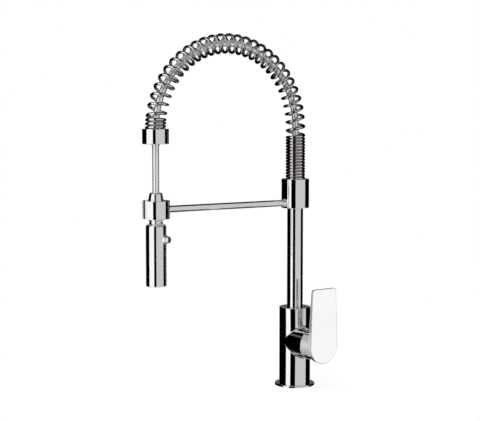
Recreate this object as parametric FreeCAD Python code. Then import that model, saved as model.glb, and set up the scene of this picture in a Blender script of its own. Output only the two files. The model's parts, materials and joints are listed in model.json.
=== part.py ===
import FreeCAD, Part
import math
import os

from FreeCAD import Vector

# Kitchen mixer tap with a spring spout: a deck-mounted body with a side lever, a swivelling
# column, a holder arm, and a pull-down spray on a hose inside an arched spring.
# Millimetres and degrees. Z runs up the column, the deck is at Z = 0,
# the spout reaches towards -Y and the lever stands on the +X side.

# Overall layout: the arch starts above the collar's top edge
reach = 252.6
arm_height = 288.5
arch_rise = 79.5

# Base flange and its seal
flange_lip = 7.0
flange_height = 3.0
flange_round = 1.2
deck_bore_radius = 18.0
register_height = 2.0
register_wall = 2.0
seal_past_body = 1.5
seal_width = 3.0
seal_height = 1.6

# Mixer body and side barrel
body_radius = 24.5
body_round = 0.6
skirt_wall = 2.0
barrel_step = 0.5
barrel_blend = 2.5
barrel_past_nut = 14.3
lever_axis_height = 71.0

# Inlet block in the foot of the body
block_height = 30.0
inlet_radius = 4.5
inlet_length = 12.0
inlet_half_spacing = 8.0
inlet_setback = 6.0
stud_radius = 3.4
stud_length = 14.0
stud_offset = 9.5
channel_radius = 3.0

# Cartridge, measured along +X
chamber_floor = -4.0
cartridge_radius = 17.4
case_wall = 2.4
base_plate = 4.0
port_seal_stand = 1.0
port_seal_sink = 1.5
port_seal_wall = 1.5
port_half_spacing = 6.5
inlet_port_drop = 4.0
outlet_port_rise = 7.0
disc_height = 3.0
disc_film = 0.05
moving_disc_radius = 11.5
driver_height = 6.0
turret_height = 7.7
turret_neck_radius = 11.9
turret_neck_length = 6.0
case_lip = 2.5
nut_height = 6.0
nut_thread_depth = 2.0
nut_bore_radius = 13.0
nut_slots = 4
nut_slot_width = 4.0

# Lever
pivot_reach = 18.0
lift_angle = 20.0
stem_side = 8.0
stem_tip_reach = 64.0
stem_ball_radius = 2.6
stem_ball_drop = 7.5
stem_neck_radius = 1.8
pin_radius = 1.5
pin_length = 24.0
dome_wall = 2.5
hub_rim_round = 0.6
hub_waist_reach = 56.0
hub_pocket_depth = 10.0
hub_wall = 4.5
hub_boss_radius = 10.0
paddle_front = 75.0
paddle_rise = 89.8
paddle_overhang = 2.0
paddle_taper = 3.2
paddle_corner = 5.0
paddle_top_thickness = 2.8
paddle_root_thickness = 6.5
paddle_taper_start = 11.0
paddle_edge_round = 1.0
lever_screw_radius = 2.5
lever_screw_reach = 59.0

# Column, its spigot in the body and its hose fitting
column_radius = 12.5
column_wall = 1.5
swivel_gap = 0.4
socket_depth = 28.0
socket_sump_radius = 10.0
socket_sump_depth = 4.5
socket_sump_wall = 2.9
thrust_ring_height = 1.5
spigot_bore_radius = 6.0
spigot_plug_length = 16.0
ring_seal_section = 2.4
ring_seal_squeeze = 0.2
lower_seal_height = 6.5
upper_seal_height = 13.5
keeper_height = 22.0
keeper_groove = 5.0
keeper_groove_depth = 2.1
keeper_radius = 3.0
keeper_tip_radius = 1.8
keeper_recess = 1.0
fitting_thread_radius = 8.0
fitting_thread_length = 12.0
fitting_hex_across = 16.0
fitting_hex_height = 6.0

# Holder collar, arm and open-fronted ring
collar_radius = 21.7
collar_drop = 8.3
collar_height = 45.5
collar_round = 0.8
collar_grip_length = 27.8
collar_web = 5.0
arm_radius = 5.0
arm_insert = 5.5
arm_boss_radius = 7.2
arm_boss_length = 5.0
collar_screw_radius = 2.5
collar_screw_height = 14.0
collar_screw_recess = 1.2
ring_radius = 20.2
ring_height = 27.0
ring_round = 1.0
ring_slot_half_width = 7.0

# Spring and hose
wire = 4.1
spring_outer_radius = 15.6
coil_gap = 0.55
ferrule_coil_gap = 1.1
column_coils = 16.5
arch_coils = 28
ferrule_coils = 4.5
spring_pocket_gap = 0.9
stop_width = 3.0
hose_radius = 5.0
hose_wall = 1.5

# Ferrule and hose tail
ferrule_radius = 19.4
ferrule_height = 21.9
ferrule_rise = 0.3
ferrule_round = 0.8
ferrule_pocket_depth = 9.5
sleeve_wall = 0.9
sleeve_drop = 2.3
sleeve_length = 10.7
nipple_radius = 6.6
nipple_height = 10.0
nipple_below_cone = 7.0

# Spray head
cone_height = 11.2
cone_top_radius = 9.2
cone_round = 2.5
neck_radius = 11.3
neck_below_ring = 1.2
neck_waist_radius = 9.8
neck_waist_drop = 3.4
flare_height = 6.7
spray_radius = 15.0
spray_wall = 2.0
spray_length = 86.5
spray_round = 0.8
neck_bore_radius = 7.0
neck_plug_length = 8.5
core_bore_radius = 4.0
core_seal_section = 1.8
housing_height = 26.0
nozzle_recess = 0.8
nozzle_plate_height = 3.6
nozzle_pad_height = 2.0
nozzle_count = 16
nozzle_circle_radius = 9.7
nozzle_radius = 1.2
nozzle_tip_radius = 0.8
nozzle_proud = 0.6
aerator_radius = 6.0
aerator_height = 5.0
aerator_holes = 6
aerator_hole_radius = 1.0

# Diverter button on the side of the spray
button_drop = 18.0
button_angle = 28.0
button_radius = 4.9
button_face_reach = 22.8
button_dish_radius = 3.4
button_dish_depth = 0.5
button_round = 0.9
spindle_radius = 3.0
spindle_depth = 12.0
spindle_collar_radius = 4.2
spindle_collar_height = 1.5
button_travel = 3.0
bezel_radius = 5.9
bezel_height = 3.2
bezel_floor = 0.2
button_spring_wall = 0.9

# Clearances
press_gap = 0.05
fit_gap = 0.1
swing_gap = 0.3
slide_gap = 0.4
running_gap = 0.05

# Overshoot of cutting tools, and how close two lengths count as equal
overcut = 1.0
near = 0.01

os.makedirs("parts", exist_ok=True)
x_axis = Vector(1, 0, 0)
y_axis = Vector(0, 1, 0)
z_axis = Vector(0, 0, 1)
origin = Vector(0, 0, 0)

# Heights that follow from the arm's
collar_bottom = arm_height - collar_drop
collar_top = collar_bottom + collar_height
arch_start_height = collar_top + arch_rise
ring_low = arm_height - ring_height / 2
ring_top = ring_low + ring_height
cone_bottom = ring_top + fit_gap
cone_top = cone_bottom + cone_height
neck_flare_top = ring_low - neck_below_ring
neck_waist = neck_flare_top - neck_waist_drop
shoulder_height = neck_waist - flare_height
spray_bottom = shoulder_height - spray_length
button_height = shoulder_height - button_drop


def save(name, shape):
    """Write one piece, after checking that it is sound."""
    if not shape.isValid():
        raise ValueError(name + " is not a valid shape")
    shape.exportStep("parts/" + name + ".step")
    print(name, len(shape.Solids), "solid(s)", round(shape.Volume, 1), "mm3")


def rod(radius, start, end):
    """Round bar between two points."""
    along = end.sub(start)
    return Part.makeCylinder(radius, along.Length, start, along)


def post(radius, low, high):
    """Upright round bar on the Z axis."""
    return rod(radius, Vector(0, 0, low), Vector(0, 0, high))


def tube(outer, inner, low, high):
    """Upright tube on the Z axis."""
    return post(outer, low, high).cut(post(inner, low - overcut, high + overcut))


def turned(profile):
    """Solid of revolution about Z from (radius, height) points."""
    points = [Vector(radius, 0, height) for radius, height in profile]
    face = Part.Face(Part.makePolygon(points + points[:1]))
    return face.revolve(origin, z_axis, 360)


def flare(top_radius, top, low_radius, low):
    """Two arcs, hollow then full, easing one upright wall out into the next."""
    half_rise = (top - low) / 2
    half_step = (low_radius - top_radius) / 2
    bend = (half_rise ** 2 + half_step ** 2) / (2 * half_step)
    lean = math.asin(half_rise / bend) / 2
    inset = bend - bend * math.cos(lean)
    drop = bend * math.sin(lean)
    middle = Vector(top_radius + half_step, 0, top - half_rise)
    hollow = Part.Arc(Vector(top_radius, 0, top), Vector(top_radius + inset, 0, top - drop), middle)
    full = Part.Arc(middle, Vector(low_radius - inset, 0, low + drop), Vector(low_radius, 0, low))
    return [hollow.toShape(), full.toShape()]


def dip(top_radius, top, low_radius, low):
    """Hollow arc that eases a wall in to an upright waist."""
    step = top_radius - low_radius
    bend = (step ** 2 + (top - low) ** 2) / (2 * step)
    lean = math.asin((top - low) / bend) / 2
    middle = Vector(low_radius + bend - bend * math.cos(lean), 0, low + bend * math.sin(lean))
    return Part.Arc(Vector(top_radius, 0, top), middle, Vector(low_radius, 0, low)).toShape()


def round_rim(shape, radius, height, amount):
    """Fillet the circular edge of the given radius and height about Z."""
    rims = []
    for edge in shape.Edges:
        curve = edge.Curve
        if isinstance(curve, Part.Circle) and abs(curve.Radius - radius) < near:
            if abs(curve.Center.z - height) < near:
                rims.append(edge)
    return shape.makeFillet(amount, rims)


def wide_edges(shape, radius):
    """Circular edges of at least the given radius."""
    return [
        edge for edge in shape.Edges
        if isinstance(edge.Curve, Part.Circle) and edge.Curve.Radius > radius - near]


def torus(ring_radius_mid, section_radius, height):
    return Part.makeTorus(ring_radius_mid, section_radius, Vector(0, 0, height), z_axis)


def box(low, high):
    size = high.sub(low)
    return Part.makeBox(size.x, size.y, size.z, low)


def on_lever(shape):
    """Lay a piece turned about Z along the lever axis, +Z becoming +X."""
    laid = shape.copy()
    laid.rotate(origin, y_axis, 90)
    laid.translate(Vector(0, 0, lever_axis_height))
    return laid


def at_spray(shape):
    """Move a piece turned about Z to the spray's axis."""
    moved = shape.copy()
    moved.translate(Vector(0, -reach, 0))
    return moved


def grub_screw(radius, length, socket):
    """Headless screw along +Z from the origin, hex socket as deep as it is wide at its outer end."""
    socket = hexagon(socket, length - socket, length + overcut)
    return rod(radius, origin, Vector(0, 0, length)).cut(socket)


def hexagon(across_flats, low, high):
    corner = across_flats / math.sqrt(3)
    points = []
    for index in range(7):
        angle = math.radians(60 * index)
        points.append(Vector(corner * math.cos(angle), corner * math.sin(angle), low))
    return Part.Face(Part.makePolygon(points)).extrude(Vector(0, 0, high - low))


def pointed(shape, direction, start):
    """Turn a piece built along +Z to a direction and set it at a point."""
    placed = shape.copy()
    turn = FreeCAD.Rotation(z_axis, direction)
    placed.Placement = FreeCAD.Placement(start, turn)
    return placed


# Base flange, seal and inlet block
body_bottom = flange_height
register_radius = deck_bore_radius + register_wall
flange_radius = body_radius + flange_lip
seal_radius = body_radius + seal_past_body
seal_inner = seal_radius - seal_width / 2
seal_outer = seal_radius + seal_width / 2
flange = turned([
    (deck_bore_radius, 0), (seal_inner - fit_gap, 0), (seal_inner - fit_gap, seal_height),
    (seal_outer + fit_gap, seal_height), (seal_outer + fit_gap, 0), (flange_radius, 0),
    (flange_radius, flange_height), (register_radius, flange_height),
    (register_radius, flange_height + register_height),
    (deck_bore_radius, flange_height + register_height)])
flange = round_rim(flange, flange_radius, flange_height, flange_round)
save("base_flange", flange)
save("base_seal", tube(seal_outer, seal_inner, 0, seal_height))

block_radius = body_radius - skirt_wall - fit_gap
block_top = body_bottom + block_height
block_floor = flange_height + register_height + fit_gap
block = turned([
    (0, block_floor), (register_radius + fit_gap, block_floor),
    (register_radius + fit_gap, body_bottom), (block_radius, body_bottom),
    (block_radius, block_top), (0, block_top)])
inlet_points = []
for side in (-1, 1):
    inlet_points.append(Vector(-inlet_setback, side * inlet_half_spacing, block_floor))
for point in inlet_points:
    mouth = point.sub(z_axis)
    block = block.cut(rod(inlet_radius, mouth, point.add(z_axis * inlet_length)))
    block = block.cut(rod(channel_radius, point, Vector(point.x, point.y, block_top + overcut)))
stud_mouth = Vector(stud_offset, 0, block_floor)
block = block.cut(rod(stud_radius, stud_mouth.sub(z_axis), stud_mouth.add(z_axis * stud_length)))
save("inlet_block", block)

# Mixer body: skirted cylinder with the cartridge barrel on its side
chamber_radius = cartridge_radius + 2 * fit_gap
case_start = chamber_floor + port_seal_stand
disc_start = case_start + base_plate
moving_start = disc_start + disc_height + disc_film
driver_start = moving_start + disc_height
turret_start = driver_start + driver_height + slide_gap
turret_end = turret_start + turret_height
case_end = turret_end + swing_gap + case_lip
nut_end = case_end + nut_height
barrel_reach = nut_end + barrel_past_nut
nut_radius = cartridge_radius + nut_thread_depth
barrel_radius = body_radius - barrel_step
sump_floor = lever_axis_height + chamber_radius + socket_sump_wall
socket_floor = sump_floor + socket_sump_depth
body_top = socket_floor + socket_depth
spigot_radius = column_radius - running_gap

body = post(body_radius, body_bottom, body_top)
body = round_rim(body, body_radius, body_top, body_round)
axis_start = Vector(0, 0, lever_axis_height)
body = body.fuse(rod(barrel_radius, axis_start, axis_start.add(x_axis * barrel_reach)))
body = body.removeSplitter()
saddle = []
for edge in body.Edges:
    lies_outside = edge.BoundBox.XMin > 0 and edge.BoundBox.XMax < body_radius + fit_gap
    if lies_outside and edge.BoundBox.ZLength > barrel_radius:
        saddle.append(edge)
body = body.makeFillet(barrel_blend, saddle)
body = body.cut(post(body_radius - skirt_wall, 0, block_top))
body = body.cut(on_lever(post(chamber_radius, chamber_floor, barrel_reach + overcut)))
body = body.cut(on_lever(post(nut_radius + fit_gap, case_end - fit_gap, barrel_reach + overcut)))
body = body.cut(post(column_radius, socket_floor, body_top + overcut))
body = body.cut(post(socket_sump_radius, sump_floor, socket_floor))
feed_x = chamber_floor - 2 * channel_radius
for side in (-1, 1):
    port = Vector(feed_x, side * port_half_spacing, lever_axis_height - inlet_port_drop)
    foot = Vector(-inlet_setback, side * inlet_half_spacing, block_top)
    body = body.cut(rod(channel_radius, foot, port))
    body = body.cut(rod(channel_radius, port, Vector(chamber_floor, port.y, port.z)))
outlet = Vector(feed_x, 0, lever_axis_height + outlet_port_rise)
body = body.cut(rod(channel_radius, outlet, Vector(chamber_floor, 0, outlet.z)))
body = body.cut(rod(channel_radius, outlet, Vector(feed_x, 0, sump_floor + channel_radius)))
keeper_z = socket_floor + keeper_height
keeper_start = Vector(0, 0, keeper_z)
body = body.cut(rod(keeper_radius, keeper_start, keeper_start.add(y_axis * (body_radius + overcut))))
save("mixer_body", body)

# Cartridge: base plate, case, port seals and ceramic discs
ports = [
    (-port_half_spacing, -inlet_port_drop), (port_half_spacing, -inlet_port_drop),
    (0, outlet_port_rise)]


def with_ports(shape, radius, low, high):
    """Drill the three water ways through a piece that is turned about Z."""
    drilled = shape
    for across, up in ports:
        drilled = drilled.cut(rod(radius, Vector(-up, across, low), Vector(-up, across, high)))
    return drilled


port_seal_radius = channel_radius + port_seal_wall
plate = post(cartridge_radius, case_start, disc_start)
plate = with_ports(plate, channel_radius, case_start - overcut, disc_start + overcut)
plate = with_ports(plate, port_seal_radius + fit_gap, case_start - overcut, case_start + port_seal_sink)
save("cartridge_base", on_lever(plate))
seals = []
for across, up in ports:
    ring = tube(port_seal_radius, channel_radius, chamber_floor, case_start + port_seal_sink)
    ring.translate(Vector(-up, across, 0))
    seals.append(ring)
save("port_seals", on_lever(Part.makeCompound(seals)))

case_bore = cartridge_radius - case_wall
turret_top = turret_end + swing_gap
case = turned([
    (case_bore, disc_start), (cartridge_radius, disc_start), (cartridge_radius, case_end),
    (turret_neck_radius + swing_gap, case_end), (turret_neck_radius + swing_gap, turret_top),
    (case_bore, turret_top)])
save("cartridge_case", on_lever(case))
fixed = post(case_bore - slide_gap, disc_start, disc_start + disc_height)
save("fixed_disc", on_lever(with_ports(fixed, channel_radius, disc_start - overcut, moving_start)))

# The moving disc has a shallow mixing hollow that bridges the ports below it
hollow_depth = disc_height / 2
hollow_radius = moving_disc_radius - 2 * hollow_depth
moving = post(moving_disc_radius, moving_start, driver_start)
moving = moving.cut(post(hollow_radius, moving_start - overcut, moving_start + hollow_depth))
save("moving_disc", on_lever(moving))
ball_reach = pivot_reach - stem_ball_drop
socket_radius = stem_ball_radius + slide_gap
driver = post(moving_disc_radius, driver_start, driver_start + driver_height)
socket_low = ball_reach - socket_radius
driver = driver.cut(post(socket_radius, max(socket_low, driver_start), turret_start))
save("disc_driver", on_lever(driver))

# Turret that turns with the lever and carries the pin that the stem rocks on
neck_end = turret_end + turret_neck_length
turret = turned([
    (0, turret_start), (case_bore - swing_gap, turret_start), (case_bore - swing_gap, turret_end),
    (turret_neck_radius, turret_end), (turret_neck_radius, neck_end), (0, neck_end)])
rock = math.tan(math.radians(lift_angle))
rock_half = stem_side / 2 / math.cos(math.radians(lift_angle)) + slide_gap
slot_half = rock_half + max(neck_end - pivot_reach, pivot_reach - turret_start) * rock
slot_side = stem_side / 2 + fit_gap
slot_low = Vector(-slot_half, -slot_side, turret_start - overcut)
slot_high = Vector(slot_half, slot_side, neck_end + overcut)
turret = turret.cut(box(slot_low, slot_high))
pin_low = Vector(0, -pin_length / 2, pivot_reach)
pin_high = Vector(0, pin_length / 2, pivot_reach)
turret = turret.cut(rod(pin_radius + press_gap, pin_low, pin_high))
save("stem_turret", on_lever(turret))
save("stem_pin", on_lever(rod(pin_radius, pin_low, pin_high)))

nut = tube(nut_radius, nut_bore_radius, case_end, nut_end)
for index in range(nut_slots):
    slot = box(Vector(nut_bore_radius - overcut, -nut_slot_width / 2, nut_end - nut_height / 2),
               Vector(nut_bore_radius + nut_thread_depth, nut_slot_width / 2, nut_end + overcut))
    slot.rotate(origin, z_axis, 360 / nut_slots * index)
    nut = nut.cut(slot)
save("cartridge_nut", on_lever(nut))

# Dome over the cartridge: a spherical cap centred on the lever's rocking pin
dome_radius = math.hypot(barrel_reach - pivot_reach, barrel_radius)
stem_corner = dome_radius * math.sin(math.radians(lift_angle)) + rock_half
dome_hole = math.hypot(stem_corner, stem_side / 2) + swing_gap
dome_inner = dome_radius - dome_wall
pivot = Vector(0, 0, pivot_reach)
dome = Part.makeSphere(dome_radius, pivot).cut(Part.makeSphere(dome_inner, pivot))
keep = post(barrel_radius, barrel_reach, pivot_reach + dome_radius + overcut)
dome = dome.common(keep)
skirt = tube(nut_radius, nut_radius - dome_wall, nut_end + fit_gap, barrel_reach + dome_wall)
dome = dome.fuse(skirt.common(Part.makeSphere(dome_radius, pivot)))
seat = tube(barrel_radius, nut_radius - dome_wall, barrel_reach, barrel_reach + dome_wall)
dome = dome.fuse(seat.common(Part.makeSphere(dome_radius, pivot)))
dome = dome.cut(rod(dome_hole, pivot, Vector(0, 0, pivot_reach + dome_radius + overcut))).removeSplitter()
save("dome_cap", on_lever(dome))

# Lever stem: square bar with a ball foot that shifts the disc, its shoulder clear of the
# driver at full lift
stem_half = stem_side / 2
tilt = math.radians(lift_angle)
shoulder_drop = (pivot_reach - turret_start - stem_half * math.sin(tilt)) / math.cos(tilt)
stem_shoulder = pivot_reach - shoulder_drop
stem = box(Vector(-stem_half, -stem_half, stem_shoulder), Vector(stem_half, stem_half, stem_tip_reach))
stem = stem.fuse(post(stem_neck_radius, ball_reach, stem_shoulder + overcut))
stem = stem.fuse(Part.makeSphere(stem_ball_radius, Vector(0, 0, ball_reach))).removeSplitter()
stem = stem.cut(rod(pin_radius + running_gap, pin_low, pin_high))
save("lever_stem", on_lever(stem))

# Lever handle: flared hub running into an upright paddle
hub_radius = barrel_radius
paddle_half_width = hub_radius + paddle_overhang
paddle_top_half_width = paddle_half_width - paddle_taper
paddle_top = lever_axis_height + paddle_rise
paddle_back = paddle_front - paddle_root_thickness
low_left = Vector(paddle_front, -paddle_half_width, lever_axis_height)
low_right = Vector(paddle_front, paddle_half_width, lever_axis_height)
top_left = Vector(paddle_front, -paddle_top_half_width, paddle_top)
top_right = Vector(paddle_front, paddle_top_half_width, paddle_top)
lowest = Vector(paddle_front, 0, lever_axis_height - paddle_half_width)
outline = Part.Wire([
    Part.Arc(low_left, lowest, low_right).toShape(),
    Part.LineSegment(low_right, top_right).toShape(),
    Part.LineSegment(top_right, top_left).toShape(),
    Part.LineSegment(top_left, low_left).toShape()])
paddle = Part.Face(outline).extrude(Vector(-paddle_root_thickness, 0, 0))
corners = []
for edge in paddle.Edges:
    if edge.BoundBox.ZMin > paddle_top - near and edge.BoundBox.YLength < near:
        corners.append(edge)
paddle = paddle.makeFillet(paddle_corner, corners)
side_view = [
    Vector(paddle_front, 0, 0), Vector(paddle_front, 0, paddle_top + overcut),
    Vector(paddle_front - paddle_top_thickness, 0, paddle_top + overcut),
    Vector(paddle_back, 0, lever_axis_height + paddle_taper_start), Vector(paddle_back, 0, 0)]
wedge = Part.Face(Part.makePolygon(side_view + side_view[:1])).extrude(Vector(0, 4 * paddle_half_width, 0))
wedge.translate(Vector(0, -2 * paddle_half_width, 0))
paddle = paddle.common(wedge)
front_edges = [edge for edge in paddle.Edges if edge.BoundBox.XMin > paddle_front - near]
paddle = paddle.makeFillet(paddle_edge_round, front_edges)
hub_end = paddle_back + 2 * paddle_edge_round
hub_foot_radius = paddle_half_width - paddle_edge_round / 2
hub_profile = [
    (hub_radius, hub_waist_reach), (hub_radius, pivot_reach), (0, pivot_reach), (0, hub_end),
    (hub_foot_radius, hub_end)]
hub_edges = Part.makePolygon([Vector(radius, 0, along) for radius, along in hub_profile]).Edges
hub_edges.append(dip(hub_foot_radius, hub_end, hub_radius, hub_waist_reach))
hub = Part.Face(Part.Wire(Part.__sortEdges__(hub_edges))).revolve(origin, z_axis, 360)
hub_sphere = dome_radius + slide_gap
hub = hub.cut(Part.makeSphere(hub_sphere, pivot))
hub_rim = pivot_reach + math.sqrt(hub_sphere ** 2 - hub_radius ** 2)
rim_edges = [
    edge for edge in hub.Edges
    if abs(edge.BoundBox.ZMin - hub_rim) < near and edge.BoundBox.ZLength < near]
hub = hub.makeFillet(hub_rim_round, rim_edges)
handle = paddle.fuse(on_lever(hub))
hub_floor = pivot_reach + hub_sphere
pocket_end = hub_floor + hub_pocket_depth
pocket = tube(hub_radius - hub_wall, hub_boss_radius, pivot_reach, pocket_end)
handle = handle.cut(on_lever(pocket))
stem_hole = stem_half + fit_gap
handle = handle.cut(on_lever(box(
    Vector(-stem_hole, -stem_hole, pivot_reach), Vector(stem_hole, stem_hole, stem_tip_reach + fit_gap))))
screw_top = Vector(lever_screw_reach, 0, lever_axis_height - stem_half - fit_gap)
screw_foot = Vector(lever_screw_reach, 0, lever_axis_height - hub_boss_radius)
handle = handle.cut(rod(lever_screw_radius, Vector(lever_screw_reach, 0, 0), screw_top.add(z_axis)))
handle = handle.removeSplitter()
save("lever_handle", handle)
screw_length = screw_top.z - screw_foot.z
screw = grub_screw(lever_screw_radius - press_gap, screw_length, lever_screw_radius)
save("lever_screw", pointed(screw, Vector(0, 0, -1), screw_top))

# Column spigot that turns in the body, with its seals, thrust ring and keeper screw
thrust_top = socket_floor + thrust_ring_height
spigot_bottom = thrust_top + fit_gap
tube_bottom = body_top + swivel_gap
plug_radius = column_radius - column_wall - press_gap
plug_top = tube_bottom + spigot_plug_length
fitting_seat = plug_top - fitting_thread_length
spigot = turned([
    (spigot_bore_radius, spigot_bottom), (spigot_radius, spigot_bottom), (spigot_radius, tube_bottom),
    (plug_radius, tube_bottom), (plug_radius, plug_top),
    (fitting_thread_radius, plug_top), (fitting_thread_radius, fitting_seat),
    (spigot_bore_radius, fitting_seat)])
groove_radius = spigot_radius - ring_seal_section + ring_seal_squeeze - running_gap
seal_rings = []
for height in (lower_seal_height, upper_seal_height):
    low = socket_floor + height - ring_seal_section / 2 - ring_seal_squeeze
    high = socket_floor + height + ring_seal_section / 2 + ring_seal_squeeze
    spigot = spigot.cut(tube(column_radius + overcut, groove_radius, low, high))
    middle = groove_radius + running_gap + (ring_seal_section - ring_seal_squeeze) / 2
    section = (ring_seal_section - ring_seal_squeeze) / 2
    seal_rings.append(torus(middle, section, socket_floor + height))
keeper_low = keeper_z - keeper_groove / 2
keeper_floor = spigot_radius - keeper_groove_depth
spigot = spigot.cut(tube(column_radius + overcut, keeper_floor, keeper_low, keeper_low + keeper_groove))
save("spout_spigot", spigot)
save("spigot_seals", Part.makeCompound(seal_rings))
save("thrust_ring", tube(spigot_radius - fit_gap, socket_sump_radius + fit_gap, socket_floor, thrust_top))
keeper_inner = column_radius + swing_gap
keeper_length = body_radius - keeper_recess - keeper_inner
keeper = grub_screw(keeper_radius - press_gap, keeper_length, keeper_radius)
dog = post(keeper_tip_radius, swing_gap - keeper_groove_depth, 1)
save("spout_keeper", pointed(keeper.fuse(dog), y_axis, Vector(0, keeper_inner, keeper_z)))

# Column tube and the fitting that holds the hose in the spigot
column_top = collar_bottom + collar_grip_length
save("column_tube", tube(column_radius, column_radius - column_wall, tube_bottom, column_top))
hose_bore = hose_radius - hose_wall
hose_start = plug_top + fitting_hex_height
fitting = post(fitting_thread_radius - press_gap, fitting_seat, plug_top)
fitting = fitting.fuse(hexagon(fitting_hex_across, plug_top, hose_start))
fitting = fitting.cut(post(hose_bore, fitting_seat - overcut, hose_start + overcut))
save("hose_fitting", fitting)

# Holder collar with the spring's seat, the arm and the open-fronted ring
pocket_radius = spring_outer_radius + spring_pocket_gap
spring_seat = column_top + collar_web
coil_radius = spring_outer_radius - wire / 2
close_pitch = wire + coil_gap
ferrule_pitch = wire + ferrule_coil_gap
coil_around = 2 * math.pi * coil_radius
close_slope = math.degrees(math.atan(close_pitch / coil_around))
ferrule_slope = math.degrees(math.atan(ferrule_pitch / coil_around))
collar = turned([
    (column_radius + fit_gap, collar_bottom), (collar_radius, collar_bottom), (collar_radius, collar_top),
    (pocket_radius, collar_top), (pocket_radius, spring_seat), (hose_radius + slide_gap, spring_seat),
    (hose_radius + slide_gap, column_top), (column_radius + fit_gap, column_top)])
collar = round_rim(collar, collar_radius, collar_top, collar_round)
collar = round_rim(collar, collar_radius, collar_bottom, collar_round)
boss_start = Vector(0, -column_radius - column_wall, arm_height)
boss_face = math.sqrt(collar_radius ** 2 - arm_boss_radius ** 2)
boss_foot = Vector(0, -boss_face, arm_height)
boss = Part.makeCone(arm_boss_radius, arm_radius + fit_gap, arm_boss_length, boss_foot, y_axis * -1)
boss = boss.fuse(rod(arm_boss_radius, boss_start, boss_foot))
collar = collar.fuse(boss)
arm_start = Vector(0, -collar_radius + arm_insert, arm_height)
collar = collar.cut(rod(arm_radius + press_gap, arm_start, Vector(0, -reach, arm_height)))
collar_screw_z = collar_bottom + collar_screw_height
screw_seat = Vector(0, column_radius + fit_gap, collar_screw_z)
screw_mouth = Vector(0, collar_radius + overcut, collar_screw_z)
collar = collar.cut(rod(collar_screw_radius, Vector(0, 0, collar_screw_z), screw_mouth))


def spring_stop(seat, end_gap, slope):
    """Small block in a spring pocket, square to the end of the spring's wire."""
    stop = box(
        Vector(wire + end_gap, coil_radius - wire / 2, -wire),
        Vector(wire + end_gap + stop_width, pocket_radius, wire / 2))
    stop.rotate(origin, y_axis, slope)
    stop.translate(Vector(0, 0, seat + wire / 2))
    pocket_space = post(pocket_radius + fit_gap, seat - fit_gap, seat + 2 * wire)
    return stop.common(pocket_space)


collar = collar.fuse(spring_stop(spring_seat, 0, close_slope)).removeSplitter()
save("spring_collar", collar)
collar_screw_length = collar_radius - collar_screw_recess - screw_seat.y
screw = grub_screw(collar_screw_radius - press_gap, collar_screw_length, collar_screw_radius)
save("collar_screw", pointed(screw, y_axis, screw_seat))

arm_end = Vector(0, -reach + ring_radius - arm_insert, arm_height)
save("support_arm", rod(arm_radius, arm_start, arm_end))
ring_bore = neck_radius + slide_gap
ring = tube(ring_radius, ring_bore, ring_low, ring_top)
ring = ring.cut(box(
    Vector(-ring_slot_half_width, -ring_radius - overcut, ring_low - overcut),
    Vector(ring_slot_half_width, 0, ring_top + overcut)).cut(
    post(ring_bore, ring_low - 2, ring_top + 2)))
ring = ring.makeFillet(ring_round, wide_edges(ring, ring_radius))
ring = at_spray(ring).cut(rod(arm_radius + press_gap, arm_start, arm_end))
save("holder_ring", ring)

# Route of the hose and the spring: up the column, over the arch and down to the ferrule
arch_radius = reach / 2
arch_centre = Vector(0, -arch_radius, arch_start_height)
ferrule_top = arch_start_height + ferrule_rise
ferrule_bottom = ferrule_top - ferrule_height
ferrule_seat = ferrule_top - ferrule_pocket_depth


def route(rise_from, fall_to):
    """Straight up, half a circle over, straight down."""
    over = arch_centre.add(z_axis * arch_radius)
    lift_off = Vector(0, 0, arch_start_height)
    touch_down = Vector(0, -reach, arch_start_height)
    return Part.Wire([
        Part.LineSegment(Vector(0, 0, rise_from), lift_off).toShape(),
        Part.Arc(lift_off, over, touch_down).toShape(),
        Part.LineSegment(touch_down, Vector(0, -reach, fall_to)).toShape()])


def piped(path, radius, start, direction):
    """Round bar along a path."""
    shell = Part.BRepOffsetAPI.MakePipeShell(path)
    shell.add(Part.Wire([Part.makeCircle(radius, start, direction)]))
    shell.build()
    shell.makeSolid()
    return shell.shape()


tail_top = ferrule_bottom - sleeve_drop + sleeve_length
hose_path = route(hose_start, tail_top + swing_gap)
hose_outer = piped(hose_path, hose_radius, Vector(0, 0, hose_start), z_axis)
hose = hose_outer.cut(piped(hose_path, hose_bore, Vector(0, 0, hose_start), z_axis))
hose_section = math.pi * (hose_radius ** 2 - hose_bore ** 2)
print("hose volume over section times length:", round(hose.Volume / (hose_section * hose_path.Length), 5))
save("arch_hose", hose)

# Spring: one wire, close-wound at both ends and open over the arch
close_drop = wire * math.sin(math.radians(close_slope))
ferrule_drop = wire * math.sin(math.radians(ferrule_slope))
coil_start = spring_seat + wire / 2 + close_drop + fit_gap
coil_end = ferrule_seat + wire / 2 + ferrule_drop + swing_gap
rise = arch_start_height - coil_start
arch_length = math.pi * arch_radius
spring_length = rise + arch_length + arch_start_height - coil_end
open_length = spring_length - close_pitch * column_coils - ferrule_pitch * ferrule_coils
open_pitch = open_length / arch_coils


def centre_line(along):
    """Point, tangent, outward normal and curvature of the route at a length along it."""
    if along <= rise:
        return Vector(0, 0, coil_start + along), z_axis, y_axis, 0
    if along <= rise + arch_length:
        turn = (along - rise) / arch_radius
        outward = Vector(0, math.cos(turn), math.sin(turn))
        tangent = Vector(0, -math.sin(turn), math.cos(turn))
        return arch_centre.add(outward * arch_radius), tangent, outward, 1 / arch_radius
    drop = along - rise - arch_length
    return Vector(0, -reach, arch_start_height - drop), z_axis * -1, y_axis * -1, 0


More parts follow.
